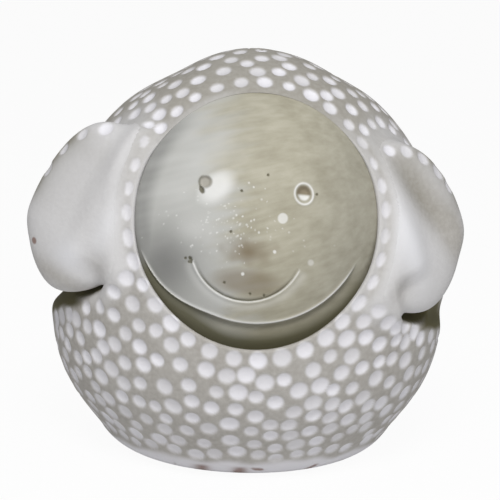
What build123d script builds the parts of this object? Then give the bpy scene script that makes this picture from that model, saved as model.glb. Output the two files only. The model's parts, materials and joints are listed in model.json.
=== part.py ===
"""Sheep figurine: a hollow terracotta ornament, built from clay pieces luted together before firing.

Frame: millimetres, +Z up, the face looks along -Y, the origin is under the middle of the figurine, on the floor.
The body is a leaning egg: a turned outline, made a little shallower front to back than it is wide.
"""

import math
import os

from build123d import *

# Driving dimensions of the body
HEIGHT = 151.0
BELLY_RADIUS = 72.8
BELLY_HEIGHT = 60.0
FOOT_RADIUS = 39.0
FOOT_ROUND_OUT = 15.0
FOOT_ROUND_UP = 8.0
DEPTH_SHARE = 0.90
LEAN_AT_FOOT = 5.5
LEAN_AT_TOP = -8.5
WALL = 8.5
ROOF_SHARE = 1.2
SEAM_Y = 12.0

# How far the outline keeps its direction: up from the foot, down and up from the belly, and out from the crown
FOOT_PULL = (9.0, 14.2)
UNDER_BELLY_PULL = 31.0
SHOULDER_PULL = 75.0
CROWN_PULL = 16.0

# Base slab that closes the hollow, with the vent that lets steam out in the kiln. The hollow overruns the floor,
# where the slab is cut flat.
SLAB_THICKNESS = 8.0
VENT_RADIUS = 6.0
HOLLOW_FOOT_RADIUS = 33.0
HOLLOW_FOOT_PULL = (16.0, 12.0)
HOLLOW_OVERRUN = 3.0

# Face: a domed disc that looks a little upwards out of the hood's opening
FACE_CENTRE = (0.0, -52.0, 100.5)
FACE_TILT_UP = 15.0
FACE_RADIUS = 39.0
FACE_CROWN = 15.5
FACE_TURN = -4.0
FACE_WALL = 7.0
FACE_DEPTH = 11.0
LIP_STEP = 1.0
LIP_UNDERCUT = 0.6
JAW_RADIUS = 48.0
JAW_DROP = 5.0

# Hood opening round the face, lower than the face so that the jaw shows under the chin
OPENING_HALF_WIDTH = 40.2
OPENING_TOP = 40.0
OPENING_BOTTOM = 46.5
OPENING_REACH_IN = 30.0
OPENING_REACH_OUT = 60.0

# Eyes and smile, placed on the face's own disc
EYE_SPREAD = 16.6
EYE_HEIGHT = 7.7
EYE_RADII = (2.6, 3.4)
EYE_DEPTH = 1.9
SMILE_CENTRE = (-1.0, -11.9)
SMILE_RADIUS = 18.7
SMILE_SWEEP = 136.0
SMILE_TOOL_RADIUS = 0.9

# Ears: flattened lobes that hang from the hood's sides, with a dished front. The left one hangs lower and closer.
EAR_TIP_LENGTH = 21.5
EAR_ROOT_LENGTH = 41.0
EAR_WIDTH = 48.0
EAR_THICKNESS = 19.0
EAR_OUTS = {-1: 57.8, 1: 55.0}
EAR_FORWARDS = {-1: -35.0, 1: -38.0}
EAR_HEIGHTS = {-1: 88.5, 1: 84.0}
EAR_SPLAY_OUT = 12.0
EAR_TURN_OUT = 37.0
EAR_TIP_LIFT = 13.0
DISH_SHARE = 0.72
DISH_DEPTH = 3.5

# Size of the blocks that split the clay into its pieces
FAR = 400.0


def egg(inset=0.0):
    """The body's solid, turned about Z and then leaned and made shallower. The inset one is the hollow inside."""
    belly = BELLY_RADIUS - inset
    roof = HEIGHT - ROOF_SHARE * inset
    if inset:
        overrun = HOLLOW_OVERRUN / HOLLOW_FOOT_PULL[1]
        sole = (HOLLOW_FOOT_RADIUS - overrun * HOLLOW_FOOT_PULL[0], -HOLLOW_OVERRUN)
        start = sole
        pulled_start = (HOLLOW_FOOT_RADIUS + HOLLOW_FOOT_PULL[0], HOLLOW_FOOT_PULL[1])
    else:
        sole = (FOOT_RADIUS, 0)
        start = (FOOT_RADIUS + FOOT_ROUND_OUT, FOOT_ROUND_UP)
        pulled_start = (start[0] + FOOT_PULL[0], start[1] + FOOT_PULL[1])
    under_belly = (belly, BELLY_HEIGHT - UNDER_BELLY_PULL)
    shoulder = (belly, min(BELLY_HEIGHT + SHOULDER_PULL, roof))
    edges = [
        Line((0, sole[1]), sole),
        Bezier(start, pulled_start, under_belly, (belly, BELLY_HEIGHT)),
        Bezier((belly, BELLY_HEIGHT), shoulder, (CROWN_PULL, roof), (0, roof)),
        Line((0, roof), (0, sole[1])),
    ]
    if not inset:
        edges.append(TangentArc(sole, start, tangent=(1, 0)))
    turned = revolve(Plane.XZ * make_face(edges), Axis.Z)
    slope = (LEAN_AT_TOP - LEAN_AT_FOOT) / HEIGHT
    lean = Matrix([[1, 0, 0, 0], [0, DEPTH_SHARE, slope, LEAN_AT_FOOT], [0, 0, 1, 0]])
    return Solid(turned.solid().transform_geometry(lean).wrapped)


def face_plane():
    """The face's disc: its Z axis looks out of the face and its Y axis points to the forehead."""
    tilt = math.radians(FACE_TILT_UP)
    return Plane(
        origin=FACE_CENTRE,
        x_dir=(1, 0, 0),
        z_dir=(0, -math.cos(tilt), math.sin(tilt)),
    )


def hood_opening():
    """The oval that the face looks out of, as a tool that cuts through the front wall."""
    half_height = (OPENING_TOP + OPENING_BOTTOM) / 2
    offset = (OPENING_TOP - OPENING_BOTTOM) / 2
    oval = Pos(0, offset, -OPENING_REACH_IN) * Ellipse(OPENING_HALF_WIDTH, half_height)
    return face_plane() * extrude(oval, amount=OPENING_REACH_IN + OPENING_REACH_OUT)


def dome_radius():
    return (FACE_RADIUS**2 + FACE_CROWN**2) / (2 * FACE_CROWN)


def on_dome(x, y, depth=0.0):
    """A place on the face's front, or deeper in its clay, in the face's own frame, from its place on the disc."""
    radius = dome_radius() - depth
    return Vector(x, y, math.sqrt(radius**2 - x * x - y * y) - (dome_radius() - FACE_CROWN))


def face_blank():
    """The face before the eyes and the smile: a hollow dome with a lip round it and a jaw that swells behind the lip.

    It is trimmed to the hood's opening, so that it fits there like a stopper.
    """
    inner = FACE_RADIUS - FACE_WALL
    lip = (FACE_RADIUS, 0)
    under_lip = (FACE_RADIUS - LIP_UNDERCUT, -LIP_STEP)
    jaw_end = (JAW_RADIUS, -JAW_DROP - LIP_STEP)
    crown = (0, FACE_CROWN)
    inner_crown = (0, FACE_CROWN - FACE_WALL)
    inner_rim = (inner, on_dome(inner, 0, FACE_WALL).Z)
    outline = make_face([
        ThreePointArc(crown, (FACE_RADIUS / 2, on_dome(FACE_RADIUS / 2, 0).Z), lip),
        Line(lip, under_lip),
        Spline([under_lip, jaw_end], tangents=[(1.0, -0.35), (0.8, -1.0)]),
        Line(jaw_end, (JAW_RADIUS, -FACE_DEPTH)),
        Line((JAW_RADIUS, -FACE_DEPTH), (inner, -FACE_DEPTH)),
        Line((inner, -FACE_DEPTH), inner_rim),
        ThreePointArc(inner_rim, (inner / 2, on_dome(inner / 2, 0, FACE_WALL).Z), inner_crown),
        Line(inner_crown, crown),
    ])
    blank = face_plane() * revolve(Plane.XZ * outline, Axis.Z)
    return blank & hood_opening()


def features_plane():
    """The face's disc, turned by the small tilt that the eyes and smile have."""
    return face_plane() * Rot(0, 0, FACE_TURN)


def eye_tool(side, radius):
    spot = on_dome(side * EYE_SPREAD, EYE_HEIGHT)
    outward = (spot - Vector(0, 0, FACE_CROWN - dome_radius())).normalized()
    return features_plane() * Pos(*(spot + outward * (radius - EYE_DEPTH))) * Sphere(radius)


def smile_tool():
    """A round tool drawn along an arc of the dome. On a ball such an arc is flat, so the groove is part of a ring."""
    centre = Vector(0, 0, FACE_CROWN - dome_radius())
    outward = (on_dome(*SMILE_CENTRE) - centre).normalized()
    height = math.sqrt(dome_radius() ** 2 - SMILE_RADIUS**2)
    across = Vector(1, 0, 0) - outward * outward.X
    ring = Plane(origin=centre + outward * height, x_dir=across.normalized(), z_dir=outward).location
    start = 270 - SMILE_SWEEP / 2
    section = Plane.XZ * Pos(SMILE_RADIUS, 0) * Circle(SMILE_TOOL_RADIUS)
    groove = Rot(0, 0, start) * revolve(section, Axis.Z, SMILE_SWEEP)
    for angle in (start, start + SMILE_SWEEP):
        turn = math.radians(angle)
        end = (SMILE_RADIUS * math.cos(turn), SMILE_RADIUS * math.sin(turn), 0)
        groove += Pos(*end) * Sphere(SMILE_TOOL_RADIUS)
    return features_plane() * ring * groove


def lobe(share=1.0):
    """A flattened lobe, made smaller by share: half an oval turned about its length, then squashed in Y."""
    half_width = share * EAR_WIDTH / 2
    tip = share * EAR_TIP_LENGTH
    root = share * EAR_ROOT_LENGTH
    outline = make_face([
        EllipticalCenterArc((0, 0), half_width, tip, start_angle=-90, arc_size=90),
        EllipticalCenterArc((0, 0), half_width, root, start_angle=0, arc_size=90),
        Line((0, root), (0, -tip)),
    ])
    turned = revolve(Plane.XZ * outline, Axis.Z)
    squash = Matrix([[1, 0, 0, 0], [0, EAR_THICKNESS / (2 * half_width), 0, 0], [0, 0, 1, 0]])
    return Solid(turned.solid().transform_geometry(squash).wrapped)


def ear_place(side):
    """Where an ear hangs. Its own Z runs from tip to root, and its own -Y looks out of the dished front."""
    return (
        Pos(side * EAR_OUTS[side], EAR_FORWARDS[side], EAR_HEIGHTS[side])
        * Rot(0, 0, side * EAR_TURN_OUT)
        * Rot(0, -side * EAR_SPLAY_OUT, 0)
        * Rot(-EAR_TIP_LIFT, 0, 0)
    )


def ear(side, body_solid):
    dish = Pos(0, DISH_DEPTH - EAR_THICKNESS, 0) * lobe(DISH_SHARE)
    return largest(ear_place(side) * (lobe() - dish) - body_solid)


def largest(shape):
    return max(shape.solids(), key=lambda solid: solid.volume)


def half_space(y_from, y_to):
    middle = (y_from + y_to) / 2
    return Pos(0, middle, 0) * Box(FAR, y_to - y_from, FAR)


def below(z):
    return Pos(0, 0, z - FAR / 2) * Box(FAR, FAR, FAR)


def build():
    outer = egg()
    hollow = egg(WALL)
    wall = outer - hollow
    slab = (hollow & below(SLAB_THICKNESS)) - below(0) - Pos(0, LEAN_AT_FOOT, 0) * Cylinder(VENT_RADIUS, FAR)
    front = (wall & half_space(-FAR, SEAM_Y)) - hood_opening()
    face = face_blank() - smile_tool()
    for side, radius in zip((-1, 1), EYE_RADII):
        face -= eye_tool(side, radius)
    return {
        "front_body_shell": largest(front),
        "rear_body_shell": largest(wall & half_space(SEAM_Y, FAR)),
        "base_slab": largest(slab),
        "face_dome": largest(face),
        "left_ear": ear(1, outer),
        "right_ear": ear(-1, outer),
    }


def centred(pieces):
    """Moves every piece together, so that the origin is under the middle of the whole figurine."""
    boxes = [piece.bounding_box() for piece in pieces.values()]
    low = [min(box.min.X for box in boxes), min(box.min.Y for box in boxes)]
    high = [max(box.max.X for box in boxes), max(box.max.Y for box in boxes)]
    middle = Pos(-(low[0] + high[0]) / 2, -(low[1] + high[1]) / 2, 0)
    print("moved by", middle.position)
    return {name: middle * piece for name, piece in pieces.items()}


os.makedirs("parts", exist_ok=True)
for name, piece in centred(build()).items():
    export_step(piece, f"parts/{name}.step")
    print(name, len(piece.solids()), "solid", round(piece.volume), "mm3", piece.bounding_box().size)
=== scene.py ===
"""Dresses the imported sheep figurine: limewashed terracotta, its fleece stamped with a round stick end.

Sizes are millimetres in the frame that the part's source draws in. When a mesh is made, it is moved to the
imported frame, in metres.
"""
import json
import math
import random

import bpy
import numpy as np
from mathutils import Matrix, Quaternion, Vector, kdtree, noise


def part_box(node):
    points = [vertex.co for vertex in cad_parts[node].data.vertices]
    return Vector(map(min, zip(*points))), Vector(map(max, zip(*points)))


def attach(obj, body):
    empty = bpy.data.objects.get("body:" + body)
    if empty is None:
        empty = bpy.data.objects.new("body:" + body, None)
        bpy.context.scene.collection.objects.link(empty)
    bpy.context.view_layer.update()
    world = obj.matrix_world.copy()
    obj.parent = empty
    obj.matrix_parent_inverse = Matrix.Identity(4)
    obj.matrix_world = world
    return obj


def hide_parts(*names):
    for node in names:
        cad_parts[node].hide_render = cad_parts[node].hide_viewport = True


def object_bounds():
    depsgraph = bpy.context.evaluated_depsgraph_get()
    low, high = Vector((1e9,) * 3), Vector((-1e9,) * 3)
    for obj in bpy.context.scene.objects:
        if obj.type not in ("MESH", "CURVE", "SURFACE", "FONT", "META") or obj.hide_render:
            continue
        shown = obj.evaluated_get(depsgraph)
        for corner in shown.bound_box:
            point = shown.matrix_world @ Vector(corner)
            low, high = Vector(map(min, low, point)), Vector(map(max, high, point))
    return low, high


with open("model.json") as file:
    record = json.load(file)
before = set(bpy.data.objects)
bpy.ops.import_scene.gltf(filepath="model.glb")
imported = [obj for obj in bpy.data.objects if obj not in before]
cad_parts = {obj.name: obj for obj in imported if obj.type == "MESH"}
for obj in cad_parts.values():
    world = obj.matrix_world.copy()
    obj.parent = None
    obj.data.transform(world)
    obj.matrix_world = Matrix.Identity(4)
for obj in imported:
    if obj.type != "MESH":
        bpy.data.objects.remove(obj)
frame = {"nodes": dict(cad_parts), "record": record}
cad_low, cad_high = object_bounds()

MM = 0.001


def mount_place(name):
    """A mount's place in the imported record, in millimetres."""
    mount = next(m for m in frame["record"]["mounts"] if m["name"] == name)
    return np.array(mount["pos_m"]) / MM


# Body: the leaning egg that the part's source turns, from its height and belly in the frame
HEIGHT = cad_high.z / MM
BELLY_RADIUS = (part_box("front_body_shell")[1].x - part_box("front_body_shell")[0].x) / MM / 2
BELLY_HEIGHT = 60.0
FOOT_RADIUS = 39.0
FOOT_ROUND_OUT = 15.0
FOOT_ROUND_UP = 8.0
FOOT_PULL = (9.0, 14.2)
UNDER_BELLY_PULL = 31.0
SHOULDER_PULL = 75.0
CROWN_PULL = 16.0
DEPTH_SHARE = 0.90
LEAN_AT_FOOT = 5.5
LEAN_AT_TOP = -8.5
HEART_HEIGHT = 72.0
VENT = mount_place("vent_hole")
MOVED = np.array((VENT[0], VENT[1] - LEAN_AT_FOOT, 0.0))

# Base slab and its vent, which the body leaves room for
SLAB_RADIUS = 33.2
SLAB_ROOM = 9.0
VENT_ROOM_RADIUS = 8.0
VENT_ROOM = 40.0

# Face disc and the dome on it
FACE_PLACE = np.array((0.0, -52.0, 100.5))
FACE_TILT_UP = math.radians(15.0)
FACE_TURN = math.radians(-4.0)
FACE_RADIUS = 39.0
FACE_CROWN = 15.5
FACE_EDGE_RADIUS = 48.0
FACE_BACK = -14.0
FACE_TUCK = 2.6
LIP_STEP = 1.0
LIP_SHIFT = -1.2
LIP_WIDER_LEFT = 3.2
LIP_ROLL = 0.35
JAW_DROP = 5.0
DOME_RADIUS = (FACE_RADIUS**2 + FACE_CROWN**2) / (2 * FACE_CROWN)
FACE_ACROSS = np.array((1.0, 0.0, 0.0))
FACE_UP = np.array((0.0, math.sin(FACE_TILT_UP), math.cos(FACE_TILT_UP)))
FACE_OUT = np.array((0.0, -math.cos(FACE_TILT_UP), math.sin(FACE_TILT_UP)))

# Hood opening
OPENING_HALF_WIDTH = 40.2
OPENING_HALF_HEIGHT = 43.25
OPENING_OFFSET = -3.25
OPENING_DEPTH = 22.0
HOOD_LIFT_TOP = 1.1
HOOD_LIFT_SIDES = 1.8
HOOD_LIFT_REACH_TOP = 24.0
HOOD_LIFT_REACH_SIDES = 7.0
RIM_ROLL_TOP = 0.08
RIM_ROLL_SIDES = 2.6
RIM_ROLL_BOTTOM = 1.8

# Eyes, smile and dab, in the face's own turned disc
LEFT_EYE = (-18.3, 7.9)
LEFT_EYE_RADIUS = 2.3
LEFT_EYE_TAIL = (-19.3, 5.2)
LEFT_EYE_SMEAR = (-14.6, 6.4)
RIGHT_EYE = (14.5, 6.6)
RIGHT_EYE_SIZES = (2.8, 3.2)
SMILE_CENTRE = (-2.4, -11.4)
SMILE_RADIUS = 18.7
SMILE_HALF_SWEEP = math.radians(67.0)
SMILE_DEPTH = 0.9
SMILE_STAIN = (-1.8, -24.0)
DAB = (8.1, -2.2)
WHITE_DOTS = [
    ((-3.4, -21.5), 0.6, 0.8),
    ((6.4, -13.4), 0.6, 0.8),
    ((18.9, -15.8), 1.1, 0.4),
    ((-4.0, 8.5), 0.4, 0.5),
]
SPECKS = 130
SPECK_MIDDLE = (-9.0, -6.5)
SPECK_SPREAD = (10.0, 6.0)
BROW_WASH = (-25.0, 13.0)
CHEEK_WASH = (-19.5, -8.0)
CHEEK_SMEAR_SHADE = (-29.0, -20.0)
NOSE_STAIN = (-2.2, -14.2)
PINHOLES = [(-9.2, -24.8), (-0.3, -27.8), (4.4, -27.9), (2.1, 11.7), (-6.2, 5.7), (18.9, 6.9), (-8.6, -8.0)]
SCRATCHES = (-21.8, -18.4)
BRUSH_LEAN = math.radians(17.0)

# Ears: their shape and their place on the hood. Side -1 is the sheep's right ear, and 1 is its left
EAR_HALF_WIDTHS = {-1: 23.9, 1: 28.3}
EAR_TIP_LENGTHS = {-1: 24.9, 1: 26.0}
EAR_ROOT_LENGTHS = {-1: 42.3, 1: 39.7}
EAR_HALF_THICKNESS = 9.5
EAR_FULLNESS = 2.4
EAR_ROOT_ROUNDING = 2.5
EAR_TIP_ROUNDING = 1.5
EAR_ROUNDING_BLEND = 12.0
EAR_SOFTENING = 0.25
EAR_OUTS = {-1: 60.4, 1: 53.1}
EAR_FORWARDS = {-1: -35.0, 1: -38.0}
EAR_HEIGHTS = {-1: 88.7, 1: 85.1}
EAR_SPLAYS = {-1: math.radians(19.6), 1: math.radians(18.0)}
EAR_TURN_OUT = math.radians(37.0)
EAR_TIP_LIFT = math.radians(13.0)

# Thumbed marks on the ears' fronts: each one's middle, half sizes, slant in degrees, and height
EAR_MARKS = {
    -1: [((-16.0, -5.0), (5.0, 4.5), 0.0, -2.2), ((-5.0, -5.0), (6.0, 9.0), 0.0, 1.2)],
    1: [
        ((-5.0, 6.0), (6.0, 16.0), 0.0, 2.0),
        ((9.0, 16.0), (5.0, 17.0), 14.0, -3.6),
        ((-14.0, -10.0), (5.0, 5.0), 0.0, -1.0),
    ],
}

# The ears' thin wash, thicker or thinner at places (as the marks are given): thicker as painted highlight on
# the lit bulges, thinner as painted shade in the dents and the hollow band and towards the rims and tips; a
# darker band round the rims, and a chip
EAR_HAZE = 0.6
EAR_WASH_LIGHT_AND_SHADE = {
    -1: [
        ((-6.0, -7.0), (7.0, 6.0), 0.0, 0.35),
        ((-15.0, 10.0), (4.0, 14.0), 0.0, 0.2),
        ((-3.0, -16.0), (14.0, 4.0), 0.0, -0.5),
        ((-16.0, -5.0), (5.0, 4.5), 0.0, -0.3),
    ],
    1: [
        ((-6.0, 4.0), (6.5, 17.0), 0.0, 0.4),
        ((9.0, 18.0), (7.0, 20.0), 14.0, -0.6),
        ((17.0, -2.0), (6.0, 11.0), 0.0, -0.6),
        ((-14.0, -10.0), (6.0, 6.0), 0.0, -0.35),
    ],
}
EAR_RIM_DARKENING = {-1: 0.6, 1: 0.35}
EAR_CHIP = (11.5, -9.5)
EAR_CHIP_SIZES = (1.5, 1.3)

# How the ears are luted on: the fillet, the valley by the hood's rim, and where the two skins hand over
FILLET = 16.0
RIM_FILLET_SHARE = 0.3
LUTED_TOP = 0.9 * HEIGHT
DIVE = 0.6
EAR_SKIN_STARTS = (5.0, 8.0, 12.0)
EAR_TUCK = 2.0
EAR_RIM_ROOM = 4.5
EAR_RIM_SLOPE = 1.0
EAR_RIM_ROUND = 5.0

# The ears' free tips, the gap under each, and the thumb hollows there: place, half sizes and depth
EAR_FREE_FROM = {-1: (-23.0, -15.0), 1: (-18.0, -10.0)}
GROOVE_INNER = 1.0
GROOVE_OUTER = 5.0
GROOVE_DEEPEST = 16.0
THUMB_HOLLOW_FALL = 0.23
THUMB_HOLLOWS = [
    ((-71.0, -6.0, 61.9), (20.0, 44.0, 4.2), 5.5),
    ((69.0, -20.0, 58.5), (14.0, 16.0, 4.5), 3.5),
]

# Places where a palm flattened the crown's shoulders: place, half sizes and depth
FLATTENED = [
    ((-28.0, -5.0, 141.0), (15.0, 16.0, 10.0), 2.0),
    ((29.0, -5.0, 141.0), (13.0, 14.0, 9.0), 1.1),
]

# Stick-end stamps of the fleece
STAMP_RADIUS = 3.4
STAMP_DEPTH = 1.1
STAMP_SPACING = 6.05
STAMP_ROUNDS = 3
RIM_STAMP_SPACING = 8.2
RIM_STAMP_INSET_TOP = 5.2
RIM_STAMP_INSET_BOTTOM = 3.8
RIM_STAMP_INSET = 3.5
EAR_ROW_SPACING = 7.6
EAR_ROW_ENDS = (math.radians(15.0), math.radians(88.0))

# Painted shade, with grime, under each ear's tip: its lower line's height at the side, and its rise to the
# front
SHADE_LINES = {-1: (49.0, 0.39), 1: (46.9, 0.24)}

# Where the foot's front edge is chipped
FOOT_CHIPS = (-16.5, -3.0)

# Slow waves of hand-worked clay
HAND_WAVE = 0.5
HAND_WAVE_SIZE = 34.0

# Camera: where it looks, from how far, how wide it sees there, and how it is turned
VIEW_TARGET = (0.3, 0.0, 75.3)
VIEW_DISTANCE = 650.0
VIEW_WIDTH = 185.0
VIEW_TURN = math.radians(-2.5)
VIEW_RISE = math.radians(13.0)
VIEW_LEAN = math.radians(1.5)
SENSOR_WIDTH = 36.0

# Stage, in metres
FLOOR_REACH = 3.0
LAMP_TARGET = (0, 0, 0.07)

# How fine the meshes are
BODY_AROUND = 720
BODY_RINGS = 250
FACE_AROUND = 720
EAR_AROUND = 300
EAR_RINGS = 150
EAR_ROW_RING = round(EAR_RINGS * 0.36)


def ease(value, low, high):
    """0 below low, 1 above high, and a soft step between."""
    share = np.clip((value - low) / (high - low), 0.0, 1.0)
    return share * share * (3 - 2 * share)


def bell(distance, width):
    return np.exp(-((distance / width) ** 2))


def unit(vectors):
    return vectors / np.linalg.norm(vectors, axis=-1, keepdims=True)


def slanted(x, y, place, sizes, slant=0.0):
    """How far a place on a flat patch is from the middle of a slanted oval, where 1 is on the oval."""
    c, s = math.cos(math.radians(slant)), math.sin(math.radians(slant))
    across = c * (x - place[0]) + s * (y - place[1])
    along = c * (y - place[1]) - s * (x - place[0])
    return np.hypot(across / sizes[0], along / sizes[1])


def bezier(points, count=1500):
    share = np.linspace(0.0, 1.0, count)[:, None]
    a, b, c, d = (np.array(point, float) for point in points)
    rest = 1 - share
    return rest**3 * a + 3 * rest**2 * share * b + 3 * rest * share**2 * c + share**3 * d


def egg_outline():
    """Radius and height of the body's turned outline, from the foot's round to the crown."""
    foot_round = (FOOT_ROUND_OUT**2 + FOOT_ROUND_UP**2) / (2 * FOOT_ROUND_UP)
    angle = np.linspace(0, 2 * math.atan2(FOOT_ROUND_UP, FOOT_ROUND_OUT), 80)
    foot = np.stack([FOOT_RADIUS + foot_round * np.sin(angle), foot_round * (1 - np.cos(angle))], axis=1)
    side = foot[-1]
    belly = (BELLY_RADIUS, BELLY_HEIGHT)
    lower = bezier([side, side + FOOT_PULL, (BELLY_RADIUS, BELLY_HEIGHT - UNDER_BELLY_PULL), belly])
    upper = bezier([belly, (BELLY_RADIUS, BELLY_HEIGHT + SHOULDER_PULL), (CROWN_PULL, HEIGHT), (0, HEIGHT)])
    return np.concatenate([foot[:-1], lower[:-1], upper])


EGG_OUTLINE = egg_outline()
EGG_WIDENING = np.gradient(EGG_OUTLINE[:, 0], EGG_OUTLINE[:, 1])


def egg_middle(z):
    return LEAN_AT_FOOT + (LEAN_AT_TOP - LEAN_AT_FOOT) * z / HEIGHT


def outside_egg(points):
    """How far outside the body's side a point is, roughly: negative inside."""
    x, y, z = np.moveaxis(points, -1, 0)
    radius = np.interp(z, EGG_OUTLINE[:, 1], EGG_OUTLINE[:, 0])
    gap = np.hypot(x, (y - egg_middle(z)) / DEPTH_SHARE) - radius
    return np.maximum(np.maximum(gap, -z), z - HEIGHT)


def egg_reach(starts, ways, far):
    """Where lines that start in the body come out of it."""
    near = np.zeros(ways.shape[:-1])
    far = np.full(ways.shape[:-1], far)
    for _ in range(36):
        middle = (near + far) / 2
        out = outside_egg(starts + ways * middle[..., None]) > 0
        far = np.where(out, middle, far)
        near = np.where(out, near, middle)
    return starts + ways * near[..., None]


def on_face(x, y, out):
    """A place in the part's frame from one on the face's disc."""
    x, y, out = (np.asarray(value)[..., None] for value in (x, y, out))
    return FACE_PLACE + x * FACE_ACROSS + y * FACE_UP + out * FACE_OUT


def dome_height(radius):
    return np.sqrt(DOME_RADIUS**2 - radius**2) - (DOME_RADIUS - FACE_CROWN)


def grid_normals(points):
    """Outward normals of a grid of rings, where a ring runs round and the rings follow each other."""
    along = np.gradient(points, axis=0)
    around = np.roll(points, -1, axis=1) - np.roll(points, 1, axis=1)
    return unit(np.cross(along, around) + 1e-12)


def closed_grid(rings, first, last):
    """Vertices and faces of a closed skin: a first point, rings round it, and a last point."""
    count, around = rings.shape[:2]
    vertices = np.concatenate([[first], rings.reshape(-1, 3), [last]])
    column = np.arange(around)
    following = (column + 1) % around
    faces = [(0, int(1 + a), int(1 + b)) for a, b in zip(column, following)]
    for ring in range(count - 1):
        low = 1 + ring * around
        high = low + around
        quads = np.stack([low + column, high + column, high + following, low + following], axis=1)
        faces.extend(quads.tolist())
    end = len(vertices) - 1
    low = 1 + (count - 1) * around
    faces.extend((end, int(low + b), int(low + a)) for a, b in zip(column, following))
    return vertices, faces


def ring_values(values):
    """One value for each vertex of a closed grid: an end point takes the mean of the ring beside it."""
    return np.concatenate([[values[0].mean()], values.reshape(-1), [values[-1].mean()]])


def hand_noise(points, scale, seed):
    """Soft unevenness of hand-worked clay, about -1 to 1, at each point."""
    offset = Vector((seed * 17.3, seed * 5.1, seed * 9.7))
    flat = points.reshape(-1, 3) / scale
    values = [noise.noise(Vector(point) + offset) for point in flat]
    return np.array(values).reshape(points.shape[:-1])


def rim_place(points):
    """Where points are round the hood's opening: how far up (-1 to 1), outside its rim, and off its disc."""
    from_face = points - FACE_PLACE
    across = (from_face @ FACE_ACROSS) / OPENING_HALF_WIDTH
    up = (from_face @ FACE_UP - OPENING_OFFSET) / OPENING_HALF_HEIGHT
    ring = np.hypot(across, up) + 1e-9
    return up / ring, (ring - 1) * OPENING_HALF_WIDTH, from_face @ FACE_OUT


def hood_lift(points):
    """How far the clay is built up round the opening: level with the forehead, and proud of the cheeks."""
    up, outside, high = rim_place(points)
    top = ease(up, 0.35, 0.85)
    bottom = ease(-up, 0.25, 0.85)
    lift = HOOD_LIFT_SIDES + (HOOD_LIFT_TOP - HOOD_LIFT_SIDES) * top - HOOD_LIFT_SIDES * bottom
    sides = 1 - np.maximum(top, bottom)
    reach = HOOD_LIFT_REACH_TOP + (HOOD_LIFT_REACH_SIDES - HOOD_LIFT_REACH_TOP) * sides
    spread = np.clip(outside / reach, 0, 1)
    return lift * 0.5 * (1 + np.cos(math.pi * spread)) * ease(high, -50.0, -35.0)


def ear_turn(side):
    """The turn of an ear: its own Z runs from tip to root, and its own -Y looks out of its front."""
    return np.array(
        Matrix.Rotation(side * EAR_TURN_OUT, 3, "Z")
        @ Matrix.Rotation(-side * EAR_SPLAYS[side], 3, "Y")
        @ Matrix.Rotation(-EAR_TIP_LIFT, 3, "X")
    )


def ear_place(side):
    return np.array((side * EAR_OUTS[side], EAR_FORWARDS[side], EAR_HEIGHTS[side]))


def in_ear(points, side):
    """Places in an ear's own frame, mirrored for the right one: +X always points away from the face."""
    return ((points - ear_place(side)) @ ear_turn(side)) * np.array((side, 1.0, 1.0))


def egg_gap(points):
    """Signed distance to the bare egg, good near its side."""
    x, y, z = np.moveaxis(points, -1, 0)
    radius = np.interp(z, EGG_OUTLINE[:, 1], EGG_OUTLINE[:, 0])
    widening = np.interp(z, EGG_OUTLINE[:, 1], EGG_WIDENING)
    deep = (y - egg_middle(z)) / DEPTH_SHARE
    around = np.hypot(x, deep) + 1e-9
    slope_y = deep / (DEPTH_SHARE * around)
    slope_z = -widening - slope_y * (LEAN_AT_TOP - LEAN_AT_FOOT) / HEIGHT
    return (around - radius) / np.sqrt((x / around) ** 2 + slope_y**2 + slope_z**2)


def thumb_marks(own, side):
    """How far thumbs pushed an ear's front out or in."""
    marks = np.zeros(own.shape[:-1])
    for place, sizes, slant, height in EAR_MARKS[side]:
        marks = marks + height * bell(slanted(own[..., 0], own[..., 2], place, sizes, slant), 1.0)
    return marks * ease(-own[..., 1], -3.0, 3.0)


def ear_gap(points, side):
    """Signed distance to an ear, good near its skin: a pillow with a fuller rim than a plain egg's."""
    own = in_ear(points, side)
    width = EAR_HALF_WIDTHS[side]
    length = np.where(own[..., 2] > 0, EAR_ROOT_LENGTHS[side], EAR_TIP_LENGTHS[side])
    rootward = ease(own[..., 2], -EAR_ROUNDING_BLEND, EAR_ROUNDING_BLEND)
    rounding = EAR_TIP_ROUNDING + (EAR_ROOT_ROUNDING - EAR_TIP_ROUNDING) * rootward
    across = np.hypot(own[..., 0] / width, EAR_SOFTENING)
    along = np.hypot(own[..., 2] / length, EAR_SOFTENING)
    thick = np.abs(own[..., 1]) / EAR_HALF_THICKNESS
    flat = (across**rounding + along**rounding) ** (1 / rounding)
    size = (flat**EAR_FULLNESS + thick**EAR_FULLNESS) ** (1 / EAR_FULLNESS)
    slope_plan = np.hypot(across ** (rounding - 1) / width, along ** (rounding - 1) / length)
    slope_flat = slope_plan * flat ** (EAR_FULLNESS - rounding)
    slope_thick = thick ** (EAR_FULLNESS - 1) / EAR_HALF_THICKNESS
    slope = np.hypot(slope_flat, slope_thick) * size ** (1 - EAR_FULLNESS)
    return (size - 1) / slope - thumb_marks(own, side)


def ear_by_rim(points, side, body, outside):
    """Signed distance to an ear that is smoothed down along the hood's rim, to a valley there."""
    ear = ear_gap(points, side)
    slope = EAR_RIM_ROOM + EAR_RIM_SLOPE * np.clip(body, -4.0, None) - outside
    slope = slope / math.hypot(1.0, EAR_RIM_SLOPE)
    near = np.clip(EAR_RIM_ROUND - np.abs(ear - slope), 0, None)
    return np.maximum(ear, slope) + near**2 / (4 * EAR_RIM_ROUND)


def body_gap(points):
    """Signed distance to the fleece body: the egg with the built-up hood."""
    return egg_gap(points) - hood_lift(points)


def hangs_free(points, side):
    """1 at the part of an ear's tip that hangs free of the body, and 0 where the ear is luted on."""
    own = in_ear(points, side)
    return (1 - ease(own[..., 2], -11.0, -3.0)) * ease(own[..., 0], *EAR_FREE_FROM[side])


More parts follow.
